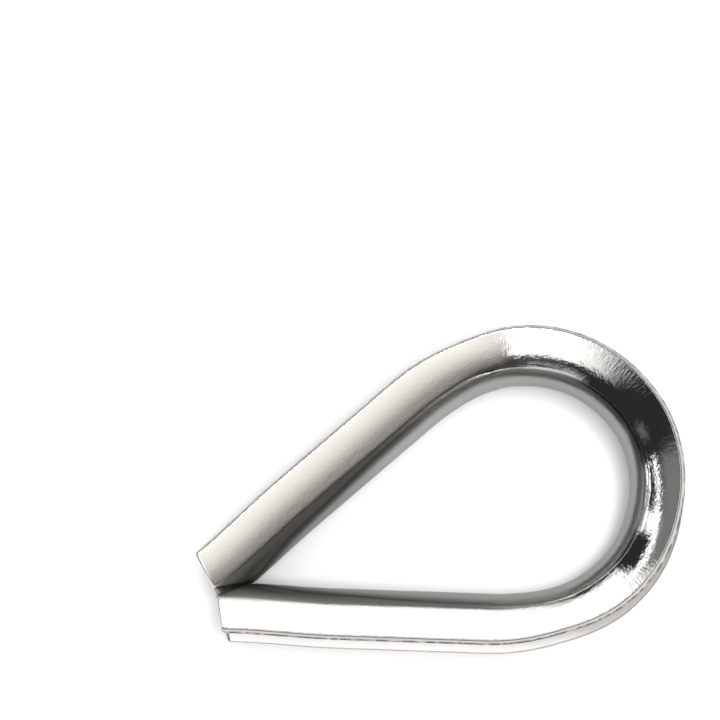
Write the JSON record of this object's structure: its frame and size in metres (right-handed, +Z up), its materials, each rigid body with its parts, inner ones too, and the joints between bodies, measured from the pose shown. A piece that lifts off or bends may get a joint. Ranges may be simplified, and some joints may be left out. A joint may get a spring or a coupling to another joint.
{
  "type": "wire rope thimble",
  "caption": "Teardrop wire rope thimble in polished stainless steel, bent from one channel-section strip, with an open rope groove and its leg ends meeting in a point.",
  "frame": {"origin": "middle of the footprint, on the surface that the thimble's lower rim lies on", "axes": "+Y from the meeting leg ends to the crown, +Z up across the channel, normal to the plane of the eye, +X across the eye"},
  "size_m": [0.0284, 0.0446, 0.0099],
  "materials": {
    "stainless": "tumble polished stainless steel, satin to mirror, with fine die marks"
  },
  "bodies": {
    "root": {"thimble": "stainless"}
  },
  "joints": []
}
